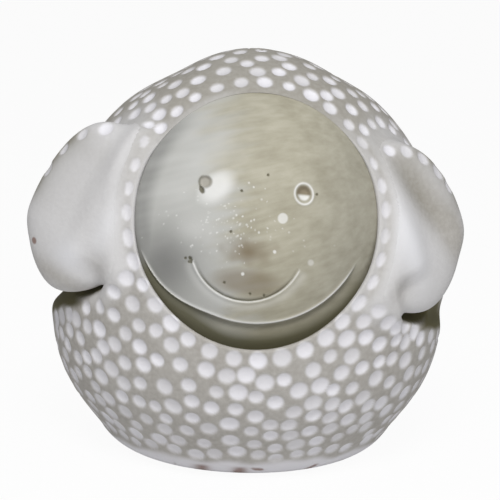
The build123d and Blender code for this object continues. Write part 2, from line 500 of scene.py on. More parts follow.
def luted_gap(points, side, of_ear):
    """Signed distance to the clay round an ear.

    Where it is luted on, the body and the ear run together, and each skin dives under the other past their
    middle line. Near the hood's rim the body's skin is the one that shows. The free tip keeps its own form.
    """
    body = body_gap(points)
    outside = rim_place(points)[1]
    ear = ear_by_rim(points, side, body, outside)
    reach = FILLET * (RIM_FILLET_SHARE + (1 - RIM_FILLET_SHARE) * ease(outside, 1.0, 12.0))
    own = in_ear(points, side)
    reach = reach * (1 + 0.4 * ease(own[..., 2], 14.0, 30.0) * (1 - ease(own[..., 0], -12.0, 0.0)))
    reach = reach * (1 - 0.65 * ease(own[..., 0], -8.0, 6.0))
    reach = reach * (1 - 0.9 * ease(points[..., 2], 0.83 * HEIGHT, LUTED_TOP))
    near = np.clip(reach - np.abs(body - ear), 0, None)
    joined = np.minimum(body, ear) - near**2 / (4 * reach)
    if of_ear:
        tuck = EAR_TUCK * (1 - ease(outside, *EAR_SKIN_STARTS[:2]))
        joined = joined + DIVE * np.clip(ear - body, 0, None) + tuck
        apart = ear
    else:
        joined = joined + DIVE * np.clip(body - ear, 0, None) * ease(outside, *EAR_SKIN_STARTS[1:])
        apart = body
    return joined + (apart - joined) * hangs_free(points, side)


def settle(points, gap, rounds=6):
    """Moves points straight onto the skin where the gap is nothing."""
    step = 0.05
    for _ in range(rounds):
        slopes = [(gap(points + step * axis) - gap(points - step * axis)) / (2 * step) for axis in np.eye(3)]
        slope = np.stack(slopes, axis=-1)
        size = np.clip((slope**2).sum(axis=-1), 0.2, None)
        points = points - slope * np.clip(gap(points) / size, -2.5, 2.5)[..., None]
    return points


def outermost(points, ways, gap, start=14.0, rounds=45):
    """Comes in from outside along each point's way, onto the first skin that is met."""
    reach = np.full(points.shape[:-1], start)
    for _ in range(rounds):
        reach = reach - 0.8 * np.clip(gap(points + ways * reach[..., None]), -1.0, 2.0)
    return points + ways * reach[..., None]


def cut_grooves(skin):
    """Cuts the body back under each ear's free tip, where a gap shows. Returns the depth as well."""
    inward = -grid_normals(skin)
    depth = np.zeros(skin.shape[:-1])
    step = 0.4
    for side in (-1, 1):
        free = hangs_free(skin, side)
        near = (free > 0) & (ear_gap(skin, side) < GROOVE_DEEPEST)
        outer = ease(in_ear(skin[near], side)[..., 0], -16.0, 4.0)
        groove = GROOVE_INNER + (GROOVE_OUTER - GROOVE_INNER) * outer
        cleared = np.zeros(len(groove))
        for way in np.arange(0.0, GROOVE_DEEPEST, step):
            blocked = ear_gap(skin[near] + inward[near] * way, side) < groove
            cleared = np.where(blocked, way + step, cleared)
        depth[near] = np.maximum(depth[near], cleared * free[near])
    for place, sizes, deepest in THUMB_HOLLOWS:
        away = skin - place
        away[..., 2] += THUMB_HOLLOW_FALL * away[..., 1]
        depth = np.maximum(depth, deepest * bell(np.linalg.norm(away / sizes, axis=-1), 1.0))
    for _ in range(3):
        depth = (2 * depth + np.roll(depth, 1, 1) + np.roll(depth, -1, 1)) / 4
        depth[1:-1] = (2 * depth[1:-1] + depth[:-2] + depth[2:]) / 4
    return skin + inward * depth[..., None], depth


def body_rings():
    """The egg's skin as rings from the hood's rim to the middle of the back, and their steps from the rim."""
    turn = np.linspace(0, 2 * math.pi, BODY_AROUND, endpoint=False)
    rim_x = OPENING_HALF_WIDTH * np.cos(turn)
    rim_y = OPENING_OFFSET + OPENING_HALF_HEIGHT * np.sin(turn)
    starts = on_face(rim_x, rim_y, np.full_like(rim_x, -30.0))
    rim = egg_reach(starts, np.broadcast_to(FACE_OUT, starts.shape), 90.0)
    heart = np.array((0.0, egg_middle(HEART_HEIGHT), HEART_HEIGHT))
    ways = unit(rim - heart)
    sweep = np.arccos(np.clip(ways @ -FACE_OUT, -1, 1))
    length = sweep.mean() * BELLY_RADIUS
    rim_steps = np.array((0.0, 0.12, 0.3, 0.55, 0.85, 1.2, 1.65, 2.2, 2.8))
    steps = np.concatenate([rim_steps, np.linspace(3.4, length * 0.997, BODY_RINGS)])
    share = (steps / length)[:, None]
    turned = np.sin((1 - share) * sweep)[..., None] * ways - np.sin(share * sweep)[..., None] * FACE_OUT
    skin = egg_reach(np.broadcast_to(heart, turned.shape), unit(turned), 140.0)
    return turn, steps, skin


def flatten(skin):
    """Presses the skin in where a palm flattened it."""
    depth = np.zeros(skin.shape[:-1])
    for place, sizes, deepest in FLATTENED:
        depth = np.maximum(depth, deepest * bell(np.linalg.norm((skin - place) / sizes, axis=-1), 1.0))
    depth = depth * ease(rim_place(skin)[1], 2.0, 12.0)
    return skin - grid_normals(skin) * depth[..., None]


def roll_rim(turn, steps, skin):
    """Rounds the hood's rim over: softly at the cheeks, less under the chin, and hardly at the forehead."""
    top = ease(np.sin(turn), 0.25, 0.9)
    bottom = ease(-np.sin(turn), 0.2, 0.9)
    roll = RIM_ROLL_SIDES + (RIM_ROLL_TOP - RIM_ROLL_SIDES) * top
    roll = roll + (RIM_ROLL_BOTTOM - RIM_ROLL_SIDES) * bottom
    inside = np.clip(roll - steps[:, None], 0, None)
    drop = roll - np.sqrt(np.clip(roll**2 - inside**2, 0, None))
    return skin - FACE_OUT * drop[..., None]


def ear_rings(side):
    """An ear's plain pillow as rings, from the middle of its front over its rim to the middle of its back."""
    turn = np.linspace(0, 2 * math.pi, EAR_AROUND, endpoint=False) * side
    over = np.linspace(0, math.pi, EAR_RINGS + 2)[1:-1, None]
    length = np.where(np.sin(turn) > 0, EAR_ROOT_LENGTHS[side], EAR_TIP_LENGTHS[side])
    share = np.sin(over)
    x = side * share * EAR_HALF_WIDTHS[side] * np.cos(turn)
    z = share * length * np.sin(turn)
    y = np.broadcast_to(-np.cos(over) * EAR_HALF_THICKNESS, x.shape)
    return np.stack([x, y, z], axis=-1) @ ear_turn(side).T + ear_place(side)


def worked_by_hand(skin):
    """Gives a skin the slow waves of hand-worked clay, and leaves the foot flat and the rim true."""
    waves = HAND_WAVE * hand_noise(skin, HAND_WAVE_SIZE, 1) * ease(skin[..., 2], 3.0, 14.0)
    _, outside, high = rim_place(skin)
    waves = waves * np.maximum(ease(outside, 1.0, 14.0), 1 - ease(high, -50.0, -35.0))
    return skin + grid_normals(skin) * waves[..., None]


def kd_tree(points):
    tree = kdtree.KDTree(len(points))
    for index, place in enumerate(points):
        tree.insert(Vector(place), index)
    tree.balance()
    return tree


def row_of_stamps(line, spacing):
    """Places along a line of points, a spacing apart."""
    steps = np.linalg.norm(np.diff(line, axis=0), axis=1).cumsum()
    count = int(steps[-1] / spacing)
    return line[np.searchsorted(steps, (np.arange(count) + 0.5) * steps[-1] / count)]


def spread_stamps(points, rows, seed):
    """Fills a skin with stamps, as an even hand does: the rows stay, the rest shift until they are spaced."""
    draw = random.Random(seed)
    order = list(range(len(points)))
    draw.shuffle(order)
    tree_of_rows = kd_tree(rows)
    cells = {}
    stamps = []
    for index in order:
        place = points[index]
        if tree_of_rows.find(Vector(place))[2] < STAMP_SPACING:
            continue
        key = tuple(int(value // STAMP_SPACING) for value in place)
        around = [
            (key[0] + i, key[1] + j, key[2] + k)
            for i in (-1, 0, 1)
            for j in (-1, 0, 1)
            for k in (-1, 0, 1)
        ]
        if all(math.dist(place, other) > STAMP_SPACING for cell in around for other in cells.get(cell, ())):
            cells.setdefault(key, []).append(place)
            stamps.append(place)
    stamps = np.concatenate([rows, np.array(stamps)])
    skin = kd_tree(points)
    for _ in range(STAMP_ROUNDS):
        tree = kd_tree(stamps)
        owners = np.array([tree.find(Vector(place))[1] for place in points])
        shares = np.bincount(owners, minlength=len(stamps))
        sums = np.stack([np.bincount(owners, points[:, axis], len(stamps)) for axis in range(3)], axis=-1)
        for index in range(len(rows), len(stamps)):
            if shares[index]:
                stamps[index] = skin.find(Vector(sums[index] / shares[index]))[0]
    return stamps


def stamp_shapes(stamps, seed):
    """Each stamp's place, radius and strength, and the way and share that it is narrowed, most by an ear."""
    draw = random.Random(seed)
    by_ear = 1 - ease(np.minimum(ear_gap(stamps, -1), ear_gap(stamps, 1)), 2.0, 9.0)
    squeezed = by_ear * (rim_place(stamps)[1] < RIM_STAMP_INSET + 2)
    from_face = stamps - FACE_PLACE
    sideways = unit(from_face - (from_face @ FACE_OUT)[:, None] * FACE_OUT)
    shapes = []
    for place, squeeze, side in zip(stamps, squeezed, sideways):
        radius = STAMP_RADIUS * draw.uniform(0.82, 1.1) * (1 - 0.12 * ease(place[2], 95.0, 125.0))
        strength = draw.uniform(0.7, 1.0) * (1 - 0.3 * squeeze)
        slant = Vector([draw.gauss(0, 1) for _ in range(3)]).normalized()
        stretch = draw.uniform(-0.25, 0.25)
        if squeeze > 0.3:
            slant = Vector(side)
            stretch = 1.8 * squeeze
        shapes.append((Vector(place), radius, strength, slant, stretch))
    return shapes


def press_stamps(points, shapes, tree, mask, row_count):
    """How deep stamps press into each point of a skin, and how much wash stays. The rows press anywhere."""
    depth = np.zeros(len(points))
    wash = np.zeros(len(points))
    for index, point in enumerate(points):
        point = Vector(point)
        for _, stamp, distance in tree.find_n(point, 2):
            place, radius, strength, slant, stretch = shapes[stamp]
            taken = strength * (1.0 if stamp < row_count else mask[index])
            along = (point - place).dot(slant)
            reach = math.sqrt(max(distance**2 + stretch * along**2, 0.0)) / radius
            depth[index] = max(depth[index], taken * STAMP_DEPTH * max(0.0, 1 - reach**2))
            wash[index] = max(wash[index], taken * min(1.0, max(0.0, (1.02 - reach) / 0.3)))
    return depth, wash


def make_piece(name, vertices, faces, values, finish, slot, *nodes):
    """Makes a mesh piece from millimetres, with its finish's values, in place of the named CAD nodes."""
    mesh = bpy.data.meshes.new(name)
    mesh.from_pydata(((vertices + MOVED) * MM).tolist(), [], faces)
    for label, amounts in values.items():
        attribute = mesh.attributes.new(label, "FLOAT", "POINT")
        attribute.data.foreach_set("value", np.asarray(ring_values(amounts), np.float32))
    mesh.polygons.foreach_set("use_smooth", np.ones(len(mesh.polygons), bool))
    mesh.materials.append(finish)
    mesh.update()
    piece = bpy.data.objects.new(name, mesh)
    bpy.context.scene.collection.objects.link(piece)
    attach(piece, "root")
    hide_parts(*nodes)
    return piece


def linear(hex_colour):
    """An sRGB hex colour as linear red, green, blue and alpha."""
    parts = [int(hex_colour[i:i + 2], 16) / 255 for i in (1, 3, 5)]
    return [p / 12.92 if p <= 0.04045 else ((p + 0.055) / 1.055) ** 2.4 for p in parts] + [1.0]


def new_finish(name):
    finish = bpy.data.materials.new(name)
    finish.use_nodes = True
    finish.node_tree.nodes.clear()
    return finish, finish.node_tree


def add(tree, kind, inputs=None, **settings):
    """Adds a node with its settings, and links or sets its inputs."""
    made = tree.nodes.new(kind)
    for name, value in settings.items():
        setattr(made, name, value)
    for socket, value in (inputs or {}).items():
        if isinstance(value, bpy.types.NodeSocket):
            tree.links.new(value, made.inputs[socket])
        else:
            made.inputs[socket].default_value = value
    return made


def coated(tree, under, coats):
    """A ground's colour with coats over it, each with the name of the mesh's value that says how much."""
    for label, hex_colour in coats:
        amount = add(tree, "ShaderNodeAttribute", attribute_name=label).outputs["Fac"]
        mix = add(tree, "ShaderNodeMix", {0: amount, 6: under, 7: linear(hex_colour)}, data_type="RGBA")
        under = mix.outputs[2]
    return under


def fire(tree, colour, roughness, grain, strength, depth):
    """Ends a finish as matt fired clay of a colour, with its grain as a fine bump, some depth deep."""
    bump = add(
        tree, "ShaderNodeBump",
        {"Height": grain.outputs["Fac"], "Strength": strength, "Distance": depth * MM},
    )
    shader = add(
        tree, "ShaderNodeBsdfPrincipled",
        {"Base Color": colour, "Roughness": roughness, "Normal": bump.outputs[0]},
    )
    add(tree, "ShaderNodeOutputMaterial", {"Surface": shader.outputs[0]})


def limewashed_fleece():
    """Limewashed terracotta: grey-brown clay rubbed bare where it is high, chalky white in each stamp."""
    finish, tree = new_finish("limewashed_terracotta_fleece")
    place = add(tree, "ShaderNodeTexCoord").outputs["Object"]
    patches = add(tree, "ShaderNodeTexNoise", {"Vector": place, "Scale": 1 / (22 * MM), "Detail": 4.0})
    grain = add(tree, "ShaderNodeTexNoise", {"Vector": place, "Scale": 1 / (1.6 * MM), "Detail": 3.0})
    ground = add(
        tree, "ShaderNodeMix",
        {0: patches.outputs["Fac"], 6: linear("#98938c"), 7: linear("#b3b0ab")},
        data_type="RGBA",
    )
    dust = add(
        tree, "ShaderNodeMapRange",
        {"Value": grain.outputs["Fac"], "From Min": 0.35, "From Max": 0.75, "To Min": 0.0, "To Max": 0.35},
    )
    dusted = add(
        tree, "ShaderNodeMix",
        {0: dust.outputs[0], 6: ground.outputs[2], 7: linear("#c8c6c2")},
        data_type="RGBA",
    )
    # The dark olive coat is painted shade in hollows, grooves and under the ears, with some grime; the haze
    # carries painted highlights and shade on the ears and by the rim.
    coats = [("haze_and_light", "#dbdbde"), ("wash", "#e4e3e8"), ("shade_and_grime", "#5c5737"), ("bare", "#7a5748")]
    fire(tree, coated(tree, dusted.outputs[2], coats), 0.82, grain, 0.25, 0.4)
    return finish


def burnished_face():
    """Burnished terracotta under a thin brushed limewash: olive-tan clay with soft white strokes."""
    finish, tree = new_finish("burnished_terracotta_face")
    place = add(tree, "ShaderNodeTexCoord").outputs["Object"]
    lean = add(
        tree, "ShaderNodeMapping",
        {"Vector": place, "Rotation": (0.0, -BRUSH_LEAN, 0.0), "Scale": (7.0, 1.0, 1.0)},
        vector_type="TEXTURE",
    )
    strokes = add(
        tree, "ShaderNodeTexNoise",
        {"Vector": lean.outputs[0], "Scale": 1 / (2.2 * MM), "Detail": 4.0},
    )
    mottle = add(tree, "ShaderNodeTexNoise", {"Vector": place, "Scale": 1 / (9.0 * MM), "Detail": 5.0})
    brushed = add(
        tree, "ShaderNodeMath",
        {0: strokes.outputs["Fac"], 1: mottle.outputs["Fac"]},
        operation="ADD",
    )
    spread = add(tree, "ShaderNodeMapRange", {"Value": brushed.outputs[0], "From Min": 0.6, "From Max": 1.4})
    grain = add(tree, "ShaderNodeTexNoise", {"Vector": place, "Scale": 1 / (1.1 * MM), "Detail": 3.0})
    ground = add(
        tree, "ShaderNodeMix",
        {0: spread.outputs[0], 6: linear("#97927f"), 7: linear("#b5b1a0")},
        data_type="RGBA",
    )
    # The grey coat is painted shade at the face's edges and right side, over a grey smear; the dark olive
    # coat is painted shade in the jaw, the cuts, the eye and the pits, with some grime.
    coats = [
        ("cool", "#b9bab8"),
        ("smear_and_shade", "#777775"),
        ("stain", "#7c705a"),
        ("wash", "#e4e4e2"),
        ("shade_and_grime", "#55523b"),
    ]
    fire(tree, coated(tree, ground.outputs[2], coats), 0.75, grain, 0.15, 0.3)
    return finish


def bare_terracotta():
    """Bare fired clay: a dull brick colour with darker grit."""
    finish, tree = new_finish("bare_terracotta_base")
    place = add(tree, "ShaderNodeTexCoord").outputs["Object"]
    grit = add(tree, "ShaderNodeTexNoise", {"Vector": place, "Scale": 1 / (1.2 * MM), "Detail": 4.0})
    clay = add(
        tree, "ShaderNodeMix",
        {0: grit.outputs["Fac"], 6: linear("#7f5645"), 7: linear("#a9806c")},
        data_type="RGBA",
    )
    fire(tree, clay.outputs[2], 0.9, grit, 0.4, 0.5)
    return finish


def face_skin():
    """The face as rings from its middle: the dome, the lip under the chin, and the jaw behind the lip."""
    turn = np.linspace(0, 2 * math.pi, FACE_AROUND, endpoint=False)
    radius = np.concatenate([
        np.arange(0.3, 37.0, 0.3),
        np.arange(37.0, 41.8, 0.12),
        np.arange(41.8, FACE_EDGE_RADIUS, 0.5),
    ])[:, None]
    lip = ease(-np.sin(turn - FACE_TURN), 0.36, 0.56)
    tuck = FACE_RADIUS + FACE_TUCK + 3.0 * ease(-np.sin(turn), 0.1, 0.4)
    dome = np.maximum(dome_height(radius) - 1.6 * np.clip(radius - tuck, 0, None), FACE_BACK + 1)
    past = radius - FACE_RADIUS - LIP_SHIFT - LIP_WIDER_LEFT * ease(-np.cos(turn), 0.35, 0.95)
    jaw = -ease(past, 0.0, 0.5) * LIP_STEP
    jaw = jaw - JAW_DROP * np.clip(past / (FACE_EDGE_RADIUS - radius + past), 0, None) ** 1.3
    roll = LIP_ROLL * bell(past + 0.3, 0.6)
    out = dome + (np.where(past > 0, jaw - dome, 0.0) + roll) * lip
    x = radius * np.cos(turn)
    y = radius * np.sin(turn)
    # Painted shade, with olive grime, on the jaw behind the lip: darker deeper in and on the left.
    jaw_shade = 0.45 + 0.55 * ease(past, 2.0, 7.0) + 0.45 * ease(-np.cos(turn), 0.2, 0.6)
    jaw_shade = np.clip(jaw_shade, 0.0, 0.95)
    coats = {
        # A painted highlight, with wash, along the lip's crest.
        "wash": 0.85 * bell(past + 0.25, 0.36) * lip,
        "shade_and_grime": jaw_shade * lip * (past > 0),
    }
    return turn, x, y, out, coats


def lay(coats, label, amount):
    """Lays a coat on wherever the amount is more than what lies there."""
    coats[label] = np.maximum(coats[label], amount)


def press_eyes(u, v, out, coats):
    """Presses a drop-shaped left eye in a white smear, with painted shadow along its left edge and tail, and
    a round right eye with a white burr.
    """
    round_part = slanted(u, v, LEFT_EYE, (LEFT_EYE_RADIUS, LEFT_EYE_RADIUS))
    tail = slanted(u, v, LEFT_EYE_TAIL, (0.9, 1.6), 25.0)
    drop = np.minimum(round_part, tail)
    smear = slanted(u, v, LEFT_EYE_SMEAR, (5.6, 8.6), -45.0)
    lay(coats, "wash", 0.75 * (1 - ease(smear, 0.35, 1.1)) * ease(drop, 0.85, 1.15))
    lay(coats, "stain", 0.45 * (1 - ease(drop, 0.7, 0.95)))
    left_edge = bell(round_part - 0.92, 0.14) * ease(LEFT_EYE[0] - u, 0.3, 1.6)
    shadow = np.maximum(left_edge, (1 - ease(tail, 0.5, 1.0)) * ease(round_part, 0.8, 1.0))
    lay(coats, "shade_and_grime", 0.75 * shadow)
    hole = slanted(u, v, RIGHT_EYE, RIGHT_EYE_SIZES, 15.0)
    low = ease(RIGHT_EYE[1] - v, -0.2, 0.9)
    lay(coats, "wash", 0.85 * bell(hole - 1.1, 0.12))
    lay(coats, "wash", 0.85 * low * (1 - ease(hole, 0.55, 0.85)))
    lay(coats, "stain", 0.85 * (1 - low) * (1 - ease(hole, 0.7, 1.0)))
    out = out - 1.2 * (1 - ease(drop, 0.5, 1.05)) + 0.3 * bell(hole - 1.15, 0.2)
    return out - 1.6 * (1 - ease(hole, 0.35, 1.05))


def press_smile(u, v, out, coats):
    """Draws the smile with a stick: a cut with painted shade above, and a burr below with a painted highlight
    on its crest and wash under it.
    """
    du = u - SMILE_CENTRE[0]
    dv = v - SMILE_CENTRE[1]
    angle = np.arctan2(du, -dv)
    bend = np.clip(angle, -SMILE_HALF_SWEEP, SMILE_HALF_SWEEP)
    beyond = np.hypot(du - SMILE_RADIUS * np.sin(bend), dv + SMILE_RADIUS * np.cos(bend))
    outward = np.where(np.hypot(du, dv) > SMILE_RADIUS, beyond, -beyond)
    within = 1 - ease(np.abs(angle) / SMILE_HALF_SWEEP, 0.96, 1.06)
    deep = 1 - ease(np.abs(bend) / SMILE_HALF_SWEEP, 0.6, 1.0)
    cut = (1 - ease(np.abs(outward), 0.1, 0.75)) * within
    burr = bell(outward - 0.9, 0.5) * within
    # Painted highlight along the burr's crest, and a little wash below it.
    white = 0.8 * bell(outward - 0.5, 0.24) + 0.2 * bell(outward - 2.2, 1.4) * (outward > 0.6)
    lay(coats, "wash", white * within)
    # Painted shade in the cut.
    lay(coats, "shade_and_grime", 0.8 * bell(outward + 0.05, 0.26) * within * deep)
    stained = slanted(u, v, SMILE_STAIN, (14.0, 5.5)) + 0.25 * np.clip(outward, 0, None)
    lay(coats, "stain", 0.65 * (1 - ease(stained, 0.4, 1.1)) * (outward < 0.3))
    return out - SMILE_DEPTH * cut * (0.35 + 0.65 * deep) + 0.3 * burr


def press_features(x, y, out, coats):
    """Presses the eyes and the smile into the face, and gives it its dabs, stains, specks and pinholes."""
    c, s = math.cos(-FACE_TURN), math.sin(-FACE_TURN)
    u = c * x - s * y
    v = s * x + c * y
    blotch = 1 + 0.5 * hand_noise(on_face(x, y, out), 3.5, 12)
    coats["stain"] = 0.95 * bell(slanted(u, v, NOSE_STAIN, (6.5, 3.6)) * blotch, 1.0)
    radius = np.hypot(x, y)
    # Painted shade along the face's left edge, on the lower left cheek (over a grey smear) and over the right
    # side.
    coats["smear_and_shade"] = 0.6 * ease(radius, 33.0, 38.5) * ease(-u, 20.0, 34.0)
    lay(coats, "smear_and_shade", 0.85 * bell(slanted(u, v, CHEEK_SMEAR_SHADE, (11.0, 12.0), 20.0), 1.0))
    lay(coats, "smear_and_shade", 0.25 * ease(u, 8.0, 36.0))
    along = math.cos(BRUSH_LEAN) * u + math.sin(BRUSH_LEAN) * v
    across = math.cos(BRUSH_LEAN) * v - math.sin(BRUSH_LEAN) * u
    strokes = hand_noise(np.stack([along / 7, across, 0 * u], axis=-1), 2.2, 9)
    patches = hand_noise(on_face(x, y, out), 9.0, 8)
    rubbed = u + 0.2 * v + 6.0 * patches + 9.0 * strokes
    coats["cool"] = 0.85 * ease(-rubbed, -2.0, 22.0)
    brow = bell(slanted(u, v, BROW_WASH, (12.0, 24.0), -35.0), 1.0)
    lay(coats, "wash", (0.12 + 0.2 * strokes) * brow)
    out = press_eyes(u, v, out, coats)
    out = press_smile(u, v, out, coats)
    dab = slanted(u, v, DAB, (1.75, 1.85))
    lay(coats, "wash", 0.65 * (1 - ease(dab, 0.8, 1.1)))
    draw = random.Random(5)
    for _ in range(SPECKS):
        place = [draw.gauss(middle, spread) for middle, spread in zip(SPECK_MIDDLE, SPECK_SPREAD)]
        speck = slanted(u, v, place, (draw.uniform(0.2, 0.42),) * 2)
        lay(coats, "wash", draw.uniform(0.1, 0.65) * (1 - ease(speck, 0.6, 1.2)))
    for place, size, amount in WHITE_DOTS:
        dot = slanted(u, v, place, (size, size))
        lay(coats, "wash", amount * (1 - ease(dot, 0.6, 1.2)))
    cheek = bell(slanted(u, v, CHEEK_WASH, (6.0, 5.0), -30.0), 1.0)
    lay(coats, "wash", (0.3 + 0.3 * patches) * cheek)
    scratched = [[middle + draw.gauss(0, 0.9) for middle in SCRATCHES] for _ in range(7)]
    for place in PINHOLES + scratched:
        pit = slanted(u, v, place, (0.5, 0.5))
        out = out - 0.5 * (1 - ease(pit, 0.3, 1.2))
        # Painted shade darkens each pit.
        lay(coats, "shade_and_grime", 0.8 * (1 - ease(pit, 0.6, 1.2)))
    return out


def make_face():
    turn, x, y, out, coats = face_skin()
    out = press_features(x, y, out, coats)
    front = on_face(x, y, out)
    edge = [(FACE_EDGE_RADIUS, FACE_BACK), (FACE_EDGE_RADIUS / 2, FACE_BACK)]
    behind = [on_face(r * np.cos(turn), r * np.sin(turn), np.full_like(turn, h)) for r, h in edge]
    rings = np.concatenate([front, np.array(behind)])
    vertices, faces = closed_grid(rings, on_face(0.0, 0.0, FACE_CROWN), on_face(0.0, 0.0, FACE_BACK))
    blank = np.zeros((len(behind), FACE_AROUND))
    values = {label: np.concatenate([np.broadcast_to(coat, x.shape), blank]) for label, coat in coats.items()}
    return make_piece("smiling_face", vertices, faces, values, burnished_face(), "face", "face_dome")


def ear_haze_and_light(own, side):
    """How thick the thin wash lies at places in an ear's own frame, with painted highlights on its bulges and
    painted shade in its dents and hollow band.
    """
    haze_and_light = np.full(own.shape[:-1], EAR_HAZE)
    for place, sizes, slant, change in EAR_WASH_LIGHT_AND_SHADE[side]:
        haze_and_light = haze_and_light + change * bell(slanted(own[..., 0], own[..., 2], place, sizes, slant), 1.0)
    return np.clip(haze_and_light, 0.0, 1.0)


def ear_skin(side):
    """An ear luted to the hood: its rings, how much of the stamping each point takes, and its coats."""
    rings = settle(ear_rings(side), lambda points: luted_gap(points, side, True))
    own = in_ear(rings, side)
    stamped = ease(own[..., 1], -0.5, 1.5) * ease(own[..., 2], -16.0, -8.0)
    stamped = stamped * ease(body_gap(rings) - ear_gap(rings, side), -1.5, 0.0)
    root = ease(own[..., 2], 26.0, 36.0)
    front = 1 - ease(own[..., 1] + 2.0 + 4.5 * ease(own[..., 2], -4.0, 8.0), 0.0, 4.0)
    chip = slanted(own[..., 0], own[..., 2], EAR_CHIP, EAR_CHIP_SIZES)
    coats = {
        "haze_and_light": ear_haze_and_light(own, side) * np.maximum(front, root),
        # Painted shade on the back of each tip, where it faces the body, and a darker band round the rim.
        "shade_and_grime": np.maximum(
            (1 - ease(own[..., 2], -18.0, -10.0)) * ease(own[..., 1], 2.5, 6.5),
            EAR_RIM_DARKENING[side] * bell(own[..., 1] + 3.0, 3.5) * ease(own[..., 2], -2.0, 8.0) * (1 - root),
        ),
        "bare": 0.8 * (1 - ease(chip, 0.7, 1.1)) * (side < 0),
    }
    return rings, stamped, coats


def ear_row(rings, side):
    """The row of stamps along an ear's upper and outer rim, just behind its front."""
    ring = rings[EAR_ROW_RING]
    own = in_ear(ring, side)
    angle = np.arctan2(own[:, 2] / EAR_ROOT_LENGTHS[side], own[:, 0] / EAR_HALF_WIDTHS[side])
    kept = np.flatnonzero((angle > EAR_ROW_ENDS[0]) & (angle < EAR_ROW_ENDS[1]))
    return row_of_stamps(ring[kept[np.argsort(angle[kept])]], EAR_ROW_SPACING)


def shaded_by_ears(skin):
    """Painted shade, with grime, under each ear's tip: a soft smear that ends at the body's side."""
    uneven = 1.5 * hand_noise(skin, 6.0, 6)
    shade = np.zeros(skin.shape[:-1])
    for side, (low, rise) in SHADE_LINES.items():
        over = skin[..., 2] + rise * skin[..., 1] - low + uneven
        smear = ease(over, -1.2, 1.2) * (1 - ease(over, 5.0, 12.0)) * ease(side * skin[..., 0], 58.0, 63.0)
        shade = np.maximum(shade, smear * (1 - ease(skin[..., 1], -6.0, 8.0)))
    return shade


def chipped_foot(skin):
    """Where the foot's edge has lost its wash and shows bare clay."""
    chips = 0.8 * ease(hand_noise(skin, 5.0, 4), 0.3, 0.5)
    for chip_x in FOOT_CHIPS:
        chips = np.maximum(chips, 0.8 * bell(skin[..., 0] - chip_x, 2.6) * (skin[..., 1] < 0))
    return chips * (1 - ease(skin[..., 2], 4.5, 6.5))


def fleece_skin():
    """The fleece body's rings, with how much of the stamping each point takes, and its coats."""
    turn, steps, skin = body_rings()
    outward = grid_normals(skin)
    luted = {side: (ear_gap(skin, side) < FILLET * 1.5 + 2) & (skin[..., 2] < LUTED_TOP) for side in (-1, 1)}
    hood = (hood_lift(skin) > 0.01) & ~luted[-1] & ~luted[1]
    skin[hood] = settle(skin[hood], body_gap, 4)
    for side, near in luted.items():
        skin[near] = outermost(skin[near], outward[near], lambda points: luted_gap(points, side, False))
    skin, groove = cut_grooves(flatten(skin))
    # Painted shade, darker the deeper it is cut, in the grooves under the ears' tips and in the thumb
    # hollows, with the shade under each tip.
    hollow_shade = np.maximum(ease(groove, 0.9, 2.4) * (1 - ease(skin[..., 1], -14.0, 4.0)), shaded_by_ears(skin))
    skin = roll_rim(turn, steps, skin)
    clear = np.minimum(ear_gap(skin, -1), ear_gap(skin, 1))
    tips = np.maximum(*(1 - ease(in_ear(skin, side)[..., 2], -24.0, -16.0) for side in (-1, 1)))
    band = skin[..., 2] + 1.6 * hand_noise(skin, 9.0, 5)
    stamped = ease(steps, 1.2, 2.6)[:, None] * ease(band, 7.5, 10.0) * (1 - hollow_shade)
    stamped = stamped * np.maximum(ease(clear, 3.0, 5.0), tips)
    up = rim_place(skin)[0]
    cheeks = (1 - ease(np.abs(up), 0.6, 0.9)) * (1 - ease(steps, 3.0, 6.0)[:, None])
    streak = ease(up, 0.5, 0.8) * ease(-skin[..., 0], 3.0, 14.0) * (1 - ease(steps, 1.0, 3.5)[:, None])
    cheeks = np.maximum(cheeks, streak)
    # Thinner haze in the valley beside the hood's rim: painted shade there.
    valley_shade = 1 - np.where(skin[..., 0] > 0, 0.85, 0.5) * bell(steps - RIM_STAMP_INSET, 2.8)[:, None]
    haze_and_light = np.where(skin[..., 0] < 0, ear_haze_and_light(in_ear(skin, -1), -1), ear_haze_and_light(in_ear(skin, 1), 1))
    coats = {
        "haze_and_light": np.maximum(haze_and_light * (1 - ease(clear, 3.0, 11.0)) * (1 - tips) * valley_shade, 0.35 * cheeks),
        "shade_and_grime": np.maximum(hollow_shade, 0.22 * ease(skin[..., 2], 105.0, 140.0)),
        "bare": chipped_foot(skin),
        "foot": 0.9 * (1 - ease(band, 6.0, 9.5)),
    }
    return steps, skin, stamped, coats


